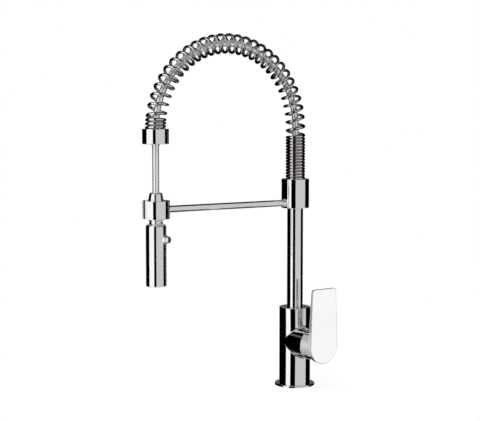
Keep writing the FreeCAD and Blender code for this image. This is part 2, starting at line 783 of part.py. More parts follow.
def coil_point(along, turns, pitch):
    """Point and direction of the wire's centre line."""
    centre, tangent, outward, curvature = centre_line(along)
    sideways = outward.cross(tangent) * -1
    phase = 2 * math.pi * turns
    spoke = outward * math.cos(phase) + sideways * math.sin(phase)
    around = sideways * math.cos(phase) - outward * math.sin(phase)
    stretch = 1 + coil_radius * math.cos(phase) * curvature
    heading = around * coil_radius + tangent * (pitch / (2 * math.pi) * stretch)
    return centre.add(spoke * coil_radius), heading.normalize()


def pitch_at(turns):
    """Advance per turn around a given turn of the wire."""
    if turns < column_coils:
        return close_pitch
    if turns > column_coils + arch_coils:
        return ferrule_pitch
    return open_pitch


def along_at(turns):
    """Length along the route after a number of turns."""
    closed = min(turns, column_coils)
    opened = min(max(turns - column_coils, 0), arch_coils)
    last = max(turns - column_coils - arch_coils, 0)
    return closed * close_pitch + opened * open_pitch + last * ferrule_pitch


def arc_edge(start, corner, end):
    """Arc from start to end whose end tangents meet at the corner."""
    middle = (start + end) * 0.5
    half_chord = (end - start).Length / 2
    side = (corner - start).Length
    lean = math.acos(min(1, half_chord / side))
    crown = middle + (corner - middle) * (math.tan(lean / 2) / math.tan(lean))
    return Part.Arc(start, crown, end).toShape()


def biarc(start, start_heading, end, end_heading):
    """Two tangent arcs from one point and direction to the next."""
    chord = end - start
    both = start_heading + end_heading
    bend = 2 * (1 - start_heading.dot(end_heading))
    lead = (math.sqrt(chord.dot(both) ** 2 + bend * chord.dot(chord)) - chord.dot(both)) / bend
    first = start + start_heading * lead
    second = end - end_heading * lead
    joint = (first + second) * 0.5
    return [arc_edge(start, first, joint), arc_edge(joint, second, end)]


total_coils = column_coils + arch_coils + ferrule_coils
half_turns = round(2 * total_coils)
nodes = []
for index in range(half_turns + 1):
    turns = index / 2
    pitch = min(pitch_at(turns - 0.25), pitch_at(turns + 0.25))
    nodes.append(coil_point(along_at(turns), turns, pitch))
first_point, first_heading = nodes[0]
last_point, last_heading = nodes[-1]
wire_start = first_point - first_heading * wire
wire_end = last_point + last_heading * wire
edges = [Part.LineSegment(wire_start, first_point).toShape()]
for (start, heading), (end, next_heading) in zip(nodes, nodes[1:]):
    edges += biarc(start, heading, end, next_heading)
edges.append(Part.LineSegment(last_point, wire_end).toShape())
spring_path = Part.Wire(edges)
spring = piped(spring_path, wire / 2, wire_start, first_heading)

# Least gap between the spring's coils, measured on points of its centre line
samples = [point for edge in edges for point in edge.discretize(7)[:-1]]
points_per_turn = len(samples) // int(total_coils)
least = min(
    samples[index].distanceToPoint(samples[other])
    for index in range(len(samples))
    for other in range(index + points_per_turn // 2, min(index + 2 * points_per_turn, len(samples))))
print("least gap between coils:", round(least - wire, 3))
wire_section = math.pi * wire ** 2 / 4
spring_ratio = spring.Volume / (wire_section * spring_path.Length)
print("spring volume over section times length:", round(spring_ratio, 5))
print("coils:", total_coils, "open pitch:", round(open_pitch, 2))
save("arch_spring", spring)

# Ferrule on the spring's end, crimp sleeve, hose tail and its swivel nipple
sleeve_radius = hose_radius + sleeve_wall + press_gap
ferrule = turned([
    (sleeve_radius + fit_gap, ferrule_bottom), (ferrule_radius, ferrule_bottom),
    (ferrule_radius, ferrule_top), (pocket_radius, ferrule_top), (pocket_radius, ferrule_seat),
    (sleeve_radius + fit_gap, ferrule_seat)])
ferrule = round_rim(ferrule, ferrule_radius, ferrule_top, ferrule_round)
ferrule = round_rim(ferrule, ferrule_radius, ferrule_bottom, ferrule_round)
ferrule_stop = spring_stop(ferrule_seat, swing_gap, ferrule_slope)
ferrule_stop.rotate(origin, z_axis, 180)
save("spring_ferrule", at_spray(ferrule.fuse(ferrule_stop).removeSplitter()))
sleeve_bottom = ferrule_bottom - sleeve_drop
save("hose_sleeve", at_spray(tube(sleeve_radius, hose_radius + press_gap, sleeve_bottom, tail_top)))
nipple_top = cone_top - nipple_below_cone
nipple_bottom = nipple_top - nipple_height
save("hose_tail", at_spray(tube(hose_radius, hose_bore, nipple_top, tail_top)))
save("hose_nipple", at_spray(tube(nipple_radius, hose_bore, nipple_bottom, nipple_top)))

# Spray neck: rounded cone, plain neck in the holder ring, waist and flared shoulder
shell_bore = spray_radius - spray_wall
housing_radius = shell_bore - fit_gap
plug_low = shoulder_height - neck_plug_length
neck_lip = nipple_top + swing_gap
neck_wall = [
    (spray_radius, shoulder_height), (housing_radius, shoulder_height), (housing_radius, plug_low),
    (neck_bore_radius, plug_low), (neck_bore_radius, neck_lip), (hose_radius + slide_gap, neck_lip),
    (hose_radius + slide_gap, cone_top), (cone_top_radius, cone_top), (neck_radius, cone_bottom),
    (neck_radius, neck_flare_top)]
neck_points = [Vector(radius, 0, height) for radius, height in neck_wall]
neck_edges = Part.makePolygon(neck_points).Edges
neck_edges.append(dip(neck_radius, neck_flare_top, neck_waist_radius, neck_waist))
neck_edges += flare(neck_waist_radius, neck_waist, spray_radius, shoulder_height)
neck = Part.Face(Part.Wire(Part.__sortEdges__(neck_edges))).revolve(origin, z_axis, 360)
neck = round_rim(neck, cone_top_radius, cone_top, cone_round)
save("spray_neck", at_spray(neck))

# Spray core with its seal, and the diverter housing that the button's spindle crosses
housing_top = plug_low
housing_low = housing_top - housing_height
core_top = nipple_bottom - swing_gap
core_radius = neck_bore_radius - fit_gap
seal_z = (core_top + plug_low) / 2
core = tube(core_radius, core_bore_radius, housing_top, core_top)
core_groove = core_radius - core_seal_section
groove_half = core_seal_section / 2 + fit_gap
core = core.cut(tube(neck_bore_radius + overcut, core_groove, seal_z - groove_half, seal_z + groove_half))
save("spray_core", at_spray(core))
core_seal_radius = core_seal_section / 2 - press_gap
save("core_seal", at_spray(torus(core_groove + core_seal_section / 2, core_seal_radius, seal_z)))

press = Vector(math.cos(math.radians(button_angle)), math.sin(math.radians(button_angle)), 0)
button_at = Vector(0, -reach, button_height)


def along_press(distance):
    return button_at.add(press * distance)


spring_bore = spindle_collar_radius + slide_gap
bezel_seat = spray_radius + bezel_floor
head_low = bezel_seat + button_travel + swing_gap
spindle_tip = head_low - spindle_depth
housing = at_spray(post(housing_radius, housing_low, housing_top))
housing = housing.cut(at_spray(post(core_bore_radius, housing_low - overcut, housing_top + overcut)))
spindle_way = spindle_tip - button_travel - slide_gap
housing = housing.cut(rod(spindle_radius + slide_gap, along_press(spindle_way), along_press(spray_radius)))
spring_floor = core_bore_radius + 2 * slide_gap
housing = housing.cut(rod(spring_bore, along_press(spring_floor), along_press(spray_radius)))
save("diverter_housing", housing)

shell = at_spray(tube(spray_radius, shell_bore, spray_bottom, shoulder_height))
shell = shell.makeFillet(spray_round, [
    edge for edge in wide_edges(shell, spray_radius) if edge.Curve.Center.z < spray_bottom + near])
bezel_foot = math.sqrt(spray_radius ** 2 - bezel_radius ** 2) - fit_gap
shell = shell.fuse(rod(bezel_radius, along_press(bezel_foot), along_press(spray_radius + bezel_height)))
shell = shell.cut(rod(button_radius + swing_gap, along_press(bezel_seat), along_press(2 * spray_radius)))
shell = shell.cut(rod(spindle_radius + slide_gap, button_at, along_press(2 * spray_radius))).removeSplitter()
save("spray_shell", shell)

# Button with its spindle, sprung outwards
button = post(button_radius, head_low, button_face_reach)
button = round_rim(button, button_radius, button_face_reach, button_round)
dish_bend = (button_dish_radius ** 2 + button_dish_depth ** 2) / (2 * button_dish_depth)
dish_centre = Vector(0, 0, button_face_reach - button_dish_depth + dish_bend)
button = button.cut(Part.makeSphere(dish_bend, dish_centre))
button = button.fuse(post(spindle_radius, spindle_tip, head_low))
collar_high = math.sqrt(shell_bore ** 2 - spindle_collar_radius ** 2) - slide_gap
button = button.fuse(post(spindle_collar_radius, collar_high - spindle_collar_height, collar_high))
save("diverter_button", pointed(button.removeSplitter(), press, button_at))
spring_top = collar_high - spindle_collar_height - button_travel - swing_gap
spring_inner = spindle_radius + swing_gap
button_spring = tube(spring_inner + button_spring_wall, spring_inner, spring_floor, spring_top)
save("button_spring", pointed(button_spring, press, button_at))

# Nozzle plate, rubber nozzles, pad and aerator at the outlet
plate_low = spray_bottom + nozzle_recess
plate_high = plate_low + nozzle_plate_height
outlet_plate = tube(housing_radius, aerator_radius + fit_gap, plate_low, plate_high)
pad = tube(housing_radius, aerator_radius + fit_gap, plate_high, plate_high + nozzle_pad_height)
nozzles = []
for index in range(nozzle_count):
    angle = 2 * math.pi * index / nozzle_count
    spot = Vector(nozzle_circle_radius * math.cos(angle), nozzle_circle_radius * math.sin(angle), plate_low)
    hole_end = spot.add(z_axis * (nozzle_plate_height + overcut))
    outlet_plate = outlet_plate.cut(rod(nozzle_radius + press_gap, spot.sub(z_axis), hole_end))
    stub = rod(nozzle_radius, spot, spot.add(z_axis * nozzle_plate_height))
    tip = Part.makeCone(nozzle_radius, nozzle_tip_radius, nozzle_proud, spot, z_axis * -1)
    nozzles.append(stub.fuse(tip))
save("nozzle_plate", at_spray(outlet_plate))
save("nozzle_pad", at_spray(pad))
save("rubber_nozzles", at_spray(Part.makeCompound(nozzles)))
aerator = post(aerator_radius, plate_low, plate_low + aerator_height)
for index in range(aerator_holes):
    angle = 2 * math.pi * index / aerator_holes
    hole_circle = aerator_radius - 2 * aerator_hole_radius
    spot = Vector(hole_circle * math.cos(angle), hole_circle * math.sin(angle), plate_low - overcut)
    aerator = aerator.cut(rod(aerator_hole_radius, spot, spot.add(z_axis * (aerator_height + 2))))
save("aerator_insert", at_spray(aerator))
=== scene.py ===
import json
import math

import bpy
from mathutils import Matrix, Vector


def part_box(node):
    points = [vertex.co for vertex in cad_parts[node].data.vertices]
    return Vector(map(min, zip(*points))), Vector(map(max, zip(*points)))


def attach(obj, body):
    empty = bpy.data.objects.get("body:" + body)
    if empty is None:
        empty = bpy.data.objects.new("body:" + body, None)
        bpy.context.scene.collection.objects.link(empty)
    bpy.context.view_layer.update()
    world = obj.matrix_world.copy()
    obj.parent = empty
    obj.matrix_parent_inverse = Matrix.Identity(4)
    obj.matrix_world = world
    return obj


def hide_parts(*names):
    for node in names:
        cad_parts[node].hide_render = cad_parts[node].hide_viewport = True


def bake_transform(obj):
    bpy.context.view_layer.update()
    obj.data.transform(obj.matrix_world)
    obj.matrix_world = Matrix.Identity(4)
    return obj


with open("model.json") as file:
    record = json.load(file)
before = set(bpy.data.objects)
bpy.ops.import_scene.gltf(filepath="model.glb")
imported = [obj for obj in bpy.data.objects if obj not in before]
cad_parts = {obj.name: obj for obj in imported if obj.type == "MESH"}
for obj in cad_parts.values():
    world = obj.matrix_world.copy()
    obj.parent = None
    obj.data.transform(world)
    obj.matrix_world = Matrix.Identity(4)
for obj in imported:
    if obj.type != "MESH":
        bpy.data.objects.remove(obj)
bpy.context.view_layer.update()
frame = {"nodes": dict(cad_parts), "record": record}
print("frame loaded:", len(frame["nodes"]), "pieces")


def clearSelection():
    bpy.ops.object.select_all(action="DESELECT")


def selectOnly(piece):
    clearSelection()
    piece.select_set(True)
    bpy.context.view_layer.objects.active = piece


def joinNodes(tree, fromSocket, toSocket):
    tree.links.new(fromSocket, toSocket)


def setInputs(node, values):
    for name, value in values.items():
        node.inputs[name].default_value = value


def addMath(tree, operation, first, second):
    node = tree.nodes.new("ShaderNodeMath")
    node.operation = operation
    for index, value in enumerate((first, second)):
        if isinstance(value, (int, float)):
            node.inputs[index].default_value = value
        else:
            joinNodes(tree, value, node.inputs[index])
    return node.outputs[0]


def addRange(tree, value, fromBand, toBand=(0.0, 1.0)):
    node = tree.nodes.new("ShaderNodeMapRange")
    setInputs(node, {"From Min": fromBand[0], "From Max": fromBand[1]})
    setInputs(node, {"To Min": toBand[0], "To Max": toBand[1]})
    joinNodes(tree, value, node.inputs["Value"])
    return node.outputs["Result"]


def addNoise(tree, vector, scale, values):
    node = tree.nodes.new("ShaderNodeTexNoise")
    setInputs(node, values)
    joinNodes(tree, vector, node.inputs["Vector"])
    joinNodes(tree, scale, node.inputs["Scale"])
    return node.outputs["Fac"]


def mixShaders(tree, share, first, second):
    node = tree.nodes.new("ShaderNodeMixShader")
    joinNodes(tree, share, node.inputs["Fac"])
    joinNodes(tree, first, node.inputs[1])
    joinNodes(tree, second, node.inputs[2])
    return node.outputs["Shader"]


# Shared effects, built once and placed in each finish

def startGroup(name, scale, outputs):
    group = bpy.data.node_groups.new(name, "ShaderNodeTree")
    group.interface.new_socket("Vector", in_out="INPUT", socket_type="NodeSocketVector")
    size = group.interface.new_socket("Scale", in_out="INPUT", socket_type="NodeSocketFloat")
    size.default_value = scale
    for socketName in outputs:
        group.interface.new_socket(socketName, in_out="OUTPUT", socket_type="NodeSocketFloat")
    return group, group.nodes.new("NodeGroupInput"), group.nodes.new("NodeGroupOutput")


smearShape = {"scale": 30.0, "cloud": {"Detail": 4.0, "Distortion": 0.6},
              "fine": {"Detail": 6.0}, "fineScale": 7.0, "band": (0.2, 0.42)}


def buildHandMarks(shape):
    # soft smears left by wet hands: a slow cloud broken by a finer one
    group, given, result = startGroup("handMarks", shape["scale"], ["Smear"])
    vector, scale = given.outputs["Vector"], given.outputs["Scale"]
    cloud = addNoise(group, vector, scale, shape["cloud"])
    fineScale = addMath(group, "MULTIPLY", scale, shape["fineScale"])
    fine = addNoise(group, vector, fineScale, shape["fine"])
    mixed = addMath(group, "MULTIPLY", cloud, fine)
    joinNodes(group, addRange(group, mixed, shape["band"]), result.inputs["Smear"])
    return group


hairShape = {"scale": 900.0, "stretch": {"Scale": (1.0, 1.0, 0.02), "Rotation": (0.3, 0.2, 0.1)},
             "noise": {"Detail": 3.0}, "band": (0.55, 0.75)}


def buildHairScratches(shape):
    # hairline wiping scratches: a noise drawn out along one way
    group, given, result = startGroup("hairScratches", shape["scale"], ["Line"])
    stretch = group.nodes.new("ShaderNodeMapping")
    setInputs(stretch, shape["stretch"])
    joinNodes(group, given.outputs["Vector"], stretch.inputs["Vector"])
    hair = addNoise(group, stretch.outputs["Vector"], given.outputs["Scale"], shape["noise"])
    joinNodes(group, addRange(group, hair, shape["band"]), result.inputs["Line"])
    return group


grainShape = {"scale": 1500.0, "swell": {"Detail": 3.0}, "swellScale": 0.05}


def buildMouldGrain(shape):
    # spark-eroded mould grain: small pits over a slow swell
    group, given, result = startGroup("mouldGrain", shape["scale"], ["Grain", "Swell"])
    vector, scale = given.outputs["Vector"], given.outputs["Scale"]
    pits = group.nodes.new("ShaderNodeTexVoronoi")
    joinNodes(group, vector, pits.inputs["Vector"])
    joinNodes(group, scale, pits.inputs["Scale"])
    swellScale = addMath(group, "MULTIPLY", scale, shape["swellScale"])
    swell = addNoise(group, vector, swellScale, shape["swell"])
    joinNodes(group, pits.outputs["Distance"], result.inputs["Grain"])
    joinNodes(group, swell, result.inputs["Swell"])
    return group


handMarks = buildHandMarks(smearShape)
hairScratches = buildHairScratches(hairShape)
mouldGrain = buildMouldGrain(grainShape)


def startFinish(name):
    finish = bpy.data.materials.new(name)
    finish.use_nodes = True
    tree = finish.node_tree
    shader = tree.nodes["Principled BSDF"]
    place = tree.nodes.new("ShaderNodeTexCoord").outputs["Object"]
    return finish, tree, shader, place


def placeGroup(tree, group, place, scale):
    node = tree.nodes.new("ShaderNodeGroup")
    node.node_tree = group
    setInputs(node, {"Scale": scale})
    joinNodes(tree, place, node.inputs["Vector"])
    return node


def spread(tree, value, low, high):
    return addRange(tree, value, (0.0, 1.0), (low, high))


def tint(tree, value, dark, light):
    node = tree.nodes.new("ShaderNodeMix")
    node.data_type = "RGBA"
    setInputs(node, {"A": (*dark, 1), "B": (*light, 1)})
    joinNodes(tree, value, node.inputs["Factor"])
    return node.outputs["Result"]


def addBump(tree, shader, height, strength, distance):
    bump = tree.nodes.new("ShaderNodeBump")
    setInputs(bump, {"Strength": strength, "Distance": distance})
    joinNodes(tree, height, bump.inputs["Height"])
    joinNodes(tree, bump.outputs["Normal"], shader.inputs["Normal"])


bumpDistance = {"line": 0.00002, "grain": 0.00005}


def metalFinish(name, look):
    finish, tree, shader, place = startFinish(name)
    smear = placeGroup(tree, handMarks, place, look["smearScale"]).outputs["Smear"]
    line = placeGroup(tree, hairScratches, place, look["lineScale"]).outputs["Line"]
    joinNodes(tree, tint(tree, smear, look["clean"], look["smeared"]), shader.inputs["Base Color"])
    rough = spread(tree, smear, look["polish"], look["dull"])
    rough = addMath(tree, "ADD", rough, addMath(tree, "MULTIPLY", line, look["lineDull"]))
    joinNodes(tree, rough, shader.inputs["Roughness"])
    addBump(tree, shader, line, look["lineDepth"], bumpDistance["line"])
    setInputs(shader, {"Metallic": 1.0})
    return finish


def mouldedFinish(name, look):
    finish, tree, shader, place = startFinish(name)
    grain = placeGroup(tree, mouldGrain, place, look["grainScale"])
    colour = tint(tree, grain.outputs["Swell"], look["dark"], look["light"])
    joinNodes(tree, colour, shader.inputs["Base Color"])
    rough = spread(tree, grain.outputs["Grain"], look["polish"], look["dull"])
    joinNodes(tree, rough, shader.inputs["Roughness"])
    addBump(tree, shader, grain.outputs["Grain"], look["grainDepth"], bumpDistance["grain"])
    setInputs(shader, {"Specular IOR Level": look["shine"], "Metallic": look.get("metal", 0.0)})
    return finish


chromeLook = {"smearScale": 24.0, "lineScale": 700.0,
              "clean": (0.90, 0.905, 0.91), "smeared": (0.86, 0.865, 0.875),
              "polish": 0.03, "dull": 0.06, "lineDull": 0.02, "lineDepth": 0.002}
wireLook = {"smearScale": 40.0, "lineScale": 1600.0,
            "clean": (0.84, 0.825, 0.815), "smeared": (0.78, 0.765, 0.755),
            "polish": 0.02, "dull": 0.05, "lineDull": 0.02, "lineDepth": 0.002}
brassLook = {"smearScale": 60.0, "lineScale": 1100.0,
             "clean": (0.80, 0.60, 0.28), "smeared": (0.62, 0.44, 0.19),
             "polish": 0.22, "dull": 0.4, "lineDull": 0.1, "lineDepth": 0.3}
steelLook = {"smearScale": 80.0, "lineScale": 1300.0,
             "clean": (0.62, 0.63, 0.64), "smeared": (0.5, 0.51, 0.52),
             "polish": 0.25, "dull": 0.38, "lineDull": 0.12, "lineDepth": 0.3}
hoseLook = {"grainScale": 700.0, "dark": (0.80, 0.79, 0.785), "light": (0.86, 0.85, 0.845),
            "polish": 0.09, "dull": 0.14, "grainDepth": 0.008, "shine": 0.5, "metal": 0.8}
# the hose inside the spring gets a slightly darker copy of the hose's colour: painted shade from the coil
# wound round it
shadedCoiledHoseLook = {**hoseLook, "dark": (0.78, 0.77, 0.76), "light": (0.84, 0.83, 0.82), "metal": 0.82}
ceramicLook = {"grainScale": 2200.0, "dark": (0.88, 0.87, 0.83), "light": (0.94, 0.93, 0.9),
               "polish": 0.12, "dull": 0.2, "grainDepth": 0.03, "shine": 0.5}
cartridgeLook = {"grainScale": 1500.0, "dark": (0.76, 0.76, 0.73), "light": (0.84, 0.84, 0.82),
                 "polish": 0.38, "dull": 0.55, "grainDepth": 0.15, "shine": 0.4}
sealLook = {"grainScale": 1200.0, "dark": (0.02, 0.02, 0.02), "light": (0.05, 0.05, 0.05),
            "polish": 0.55, "dull": 0.75, "grainDepth": 0.2, "shine": 0.35}
plateLook = {"grainScale": 1700.0, "dark": (0.22, 0.225, 0.23), "light": (0.3, 0.305, 0.31),
             "polish": 0.35, "dull": 0.5, "grainDepth": 0.15, "shine": 0.45}
nozzleLook = {"grainScale": 1300.0, "dark": (0.4, 0.41, 0.43), "light": (0.48, 0.49, 0.51),
              "polish": 0.5, "dull": 0.65, "grainDepth": 0.12, "shine": 0.4}

finishes = {
    "chrome": metalFinish("polishedChrome", chromeLook),
    "spring_wire": metalFinish("chromedWire", wireLook),
    "brass": metalFinish("turnedBrass", brassLook),
    "steel": metalFinish("plainStainless", steelLook),
    "ceramic": mouldedFinish("lappedCeramic", ceramicLook),
    "cartridge_plastic": mouldedFinish("cartridgePlastic", cartridgeLook),
    "seal_rubber": mouldedFinish("sealRubber", sealLook),
    "hose": mouldedFinish("hoseSheath", hoseLook),
    "plate_plastic": mouldedFinish("plateFace", plateLook),
    "nozzle_rubber": mouldedFinish("nozzleRubber", nozzleLook),
}
for entry in frame["record"]["subparts"]:
    node = frame["nodes"][entry["node"]]
    node.data.materials.clear()
    node.data.materials.append(finishes[entry["material_slot"]])

# Route of the spring and its hose: up the column, over the arch, down to the ferrule
archRoute = {"reach": 0.2526, "archStart": 0.4052}


def routeLength(startHeight, endHeight):
    return 2 * archRoute["archStart"] - startHeight - endHeight + math.pi * archRoute["reach"] / 2


def routeFrame(height, along):
    # point, tangent and outward way at a length along the route that starts at a height on the column
    radius = archRoute["reach"] / 2
    rise = archRoute["archStart"] - height
    if along <= rise:
        return Vector((0, 0, height + along)), Vector((0, 0, 1)), Vector((0, 1, 0))
    if along <= rise + math.pi * radius:
        turn = (along - rise) / radius
        outward = Vector((0, math.cos(turn), math.sin(turn)))
        tangent = Vector((0, -math.sin(turn), math.cos(turn)))
        return Vector((0, -radius, archRoute["archStart"])) + outward * radius, tangent, outward
    drop = along - rise - math.pi * radius
    low = archRoute["archStart"] - drop
    return Vector((0, -archRoute["reach"], low)), Vector((0, 0, -1)), Vector((0, -1, 0))


tubeMesh = {"weld": 0.000001, "smoothAngle": 50}


def smoothPiece(piece):
    selectOnly(piece)
    bpy.ops.object.shade_smooth_by_angle(angle=math.radians(tubeMesh["smoothAngle"]))


def tubeFromPoints(name, points, radius, sides, closedEnds):
    curve = bpy.data.curves.new(name, "CURVE")
    curve.dimensions = "3D"
    curve.bevel_depth = radius
    curve.bevel_resolution = (sides - 4) // 2  # a round bevel has four sides and two more for each step
    curve.use_fill_caps = closedEnds
    line = curve.splines.new("POLY")
    line.points.add(len(points) - 1)
    for spot, point in zip(line.points, points):
        spot.co = (*point, 1)
    piece = bpy.data.objects.new(name, curve)
    bpy.context.scene.collection.objects.link(piece)
    selectOnly(piece)
    bpy.ops.object.convert(target="MESH")
    piece = bpy.context.view_layer.objects.active
    piece.name = name
    bpy.ops.object.mode_set(mode="EDIT")
    bpy.ops.mesh.select_all(action="SELECT")
    bpy.ops.mesh.remove_doubles(threshold=tubeMesh["weld"])
    bpy.ops.mesh.normals_make_consistent(inside=False)
    bpy.ops.object.mode_set(mode="OBJECT")
    smoothPiece(piece)
    return piece


# The spring: close-wound in the collar, open over the arch, close-wound in the ferrule.
# Its wire is 0.5 mm thicker than the CAD's, so that close turns all but touch, and its coil radius
# is 0.35 mm smaller, so that a loop may stand at the very top of the arch inside the CAD's box.
springSizes = {"wire": 0.0046, "coilRadius": 0.0132, "startHeight": 0.315374, "endHeight": 0.398599,
               "closePitch": 0.00465, "ferrulePitch": 0.0052, "columnTurns": 16.5, "archTurns": 28.37,
               "ferruleTurns": 4.5, "stepsPerTurn": 36, "firstTurn": 0.3, "sides": 10}


def springPoints(sizes):
    length = routeLength(sizes["startHeight"], sizes["endHeight"])
    closed = sizes["closePitch"] * sizes["columnTurns"] + sizes["ferrulePitch"] * sizes["ferruleTurns"]
    openPitch = (length - closed) / sizes["archTurns"]
    turnsAll = sizes["columnTurns"] + sizes["archTurns"] + sizes["ferruleTurns"]
    points = []
    for step in range(round(turnsAll * sizes["stepsPerTurn"]) + 1):
        turns = step / sizes["stepsPerTurn"]
        opened = min(max(turns - sizes["columnTurns"], 0), sizes["archTurns"])
        last = max(turns - sizes["columnTurns"] - sizes["archTurns"], 0)
        along = min(turns, sizes["columnTurns"]) * sizes["closePitch"]
        along += opened * openPitch + last * sizes["ferrulePitch"]
        centre, tangent, outward = routeFrame(sizes["startHeight"], along)
        sideways = tangent.cross(outward)
        phase = 2 * math.pi * (turns + sizes["firstTurn"])
        spoke = outward * math.cos(phase) + sideways * math.sin(phase)
        points.append(centre + spoke * sizes["coilRadius"])
    return points


springWire = tubeFromPoints("springWire", springPoints(springSizes), springSizes["wire"] / 2,
                            springSizes["sides"], True)
springWire.data.materials.append(finishes["spring_wire"])
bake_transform(springWire)
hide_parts("arch_spring")
print("spring wound:", len(springWire.data.polygons), "faces")

# The hose: one run through the column, spring and ferrule, and the tail down to the spray
hoseSizes = {"radius": 0.005, "wall": 0.0015, "startHeight": 0.1464, "endHeight": 0.3923,
             "step": 0.004, "tailSteps": 20, "sides": 18}


def hollowTube(piece, wall):
    selectOnly(piece)
    thick = piece.modifiers.new("wall", "SOLIDIFY")
    thick.thickness = wall
    thick.offset = -1
    bpy.ops.object.modifier_apply(modifier=thick.name)
    smoothPiece(piece)


def hoseTube(name, points, sizes):
    piece = tubeFromPoints(name, points, sizes["radius"], sizes["sides"], False)
    hollowTube(piece, sizes["wall"])
    return piece


def hosePoints(sizes):
    length = routeLength(sizes["startHeight"], sizes["endHeight"])
    count = round(length / sizes["step"])
    return [routeFrame(sizes["startHeight"], length * index / count)[0] for index in range(count + 1)]


def tailPoints(low, high, steps):
    heights = [high + (low - high) * index / steps for index in range(steps + 1)]
    return [Vector((0, -archRoute["reach"], height)) for height in heights]


archHose = hoseTube("archHose", hosePoints(hoseSizes), hoseSizes)
# the darker colour of the hose inside the spring is painted shade from the coil
archHose.data.materials.append(mouldedFinish("hoseInSpringShaded", shadedCoiledHoseLook))
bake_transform(archHose)
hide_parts("arch_hose")

tailLow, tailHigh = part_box("hose_tail")
tailHose = hoseTube("tailHose", tailPoints(tailLow.z, tailHigh.z, hoseSizes["tailSteps"]), hoseSizes)
tailHose.data.materials.append(finishes["hose"])
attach(tailHose, "hose_end")
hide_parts("hose_tail")
print("hose laid:", len(archHose.data.polygons) + len(tailHose.data.polygons), "faces")

# Camera at the photograph's place
cameraPlace = {"at": (1.4977, -1.1327, 0.42996), "down": 4.70, "round": 55.54, "lens": 90.0, "sensor": 36.0}
cameraData = bpy.data.cameras.new("tapCamera")
cameraData.lens = cameraPlace["lens"]
cameraData.sensor_width = cameraPlace["sensor"]
cameraData.sensor_fit = "HORIZONTAL"
tapCamera = bpy.data.objects.new("tapCamera", cameraData)
bpy.context.scene.collection.objects.link(tapCamera)
tapCamera.location = cameraPlace["at"]
tapCamera.rotation_euler = (math.radians(90 - cameraPlace["down"]), 0, math.radians(cameraPlace["round"]))
bpy.context.scene.camera = tapCamera
bpy.context.scene.view_settings.view_transform = "Standard"
print("camera placed")

# White studio: the world shows white and keeps a plain light level on the tap
studio = {"level": 0.75, "white": 1.0}
world = bpy.data.worlds.new("whiteStudio")
bpy.context.scene.world = world
world.use_nodes = True
worldTree = world.node_tree
worldTree.nodes.clear()
ray = worldTree.nodes.new("ShaderNodeLightPath")
seen = addMath(worldTree, "MAXIMUM", ray.outputs["Is Camera Ray"], ray.outputs["Is Glossy Ray"])
seen = addMath(worldTree, "MAXIMUM", seen, ray.outputs["Is Transmission Ray"])


def addBackground(strength):
    node = worldTree.nodes.new("ShaderNodeBackground")
    setInputs(node, {"Color": (1, 1, 1, 1), "Strength": strength})
    return node.outputs["Background"]


either = mixShaders(worldTree, seen, addBackground(studio["level"]), addBackground(studio["white"]))
worldOut = worldTree.nodes.new("ShaderNodeOutputWorld")
joinNodes(worldTree, either, worldOut.inputs["Surface"])

# The floor glows white too, and takes a faint shadow close to the tap
floorSizes = {"size": 14.0, "drop": 0.0005, "shadow": 0.12, "shadowFrom": 0.12, "shadowTo": 0.55}
floorLook = {"Base Color": (0.95, 0.95, 0.95, 1), "Roughness": 0.9, "Specular IOR Level": 0.0}
clearSelection()
bpy.ops.mesh.primitive_plane_add(size=floorSizes["size"], location=(0, 0, -floorSizes["drop"]))
floor = bpy.context.active_object
floor.name = "studioFloor"
floorFinish, floorTree, floorShader, floorPlace = startFinish("paleFloor")
setInputs(floorShader, floorLook)
floorGlow = floorTree.nodes.new("ShaderNodeEmission")
setInputs(floorGlow, {"Strength": studio["white"]})
floorReach = floorTree.nodes.new("ShaderNodeVectorMath")
floorReach.operation = "LENGTH"
joinNodes(floorTree, floorPlace, floorReach.inputs[0])
floorFade = addRange(floorTree, floorReach.outputs["Value"],
                     (floorSizes["shadowFrom"], floorSizes["shadowTo"]), (floorSizes["shadow"], 0.0))
floorMix = mixShaders(floorTree, floorFade, floorGlow.outputs["Emission"], floorShader.outputs["BSDF"])
joinNodes(floorTree, floorMix, floorTree.nodes["Material Output"].inputs["Surface"])
floor.data.materials.append(floorFinish)
floor.visible_glossy = False
print("white studio built")

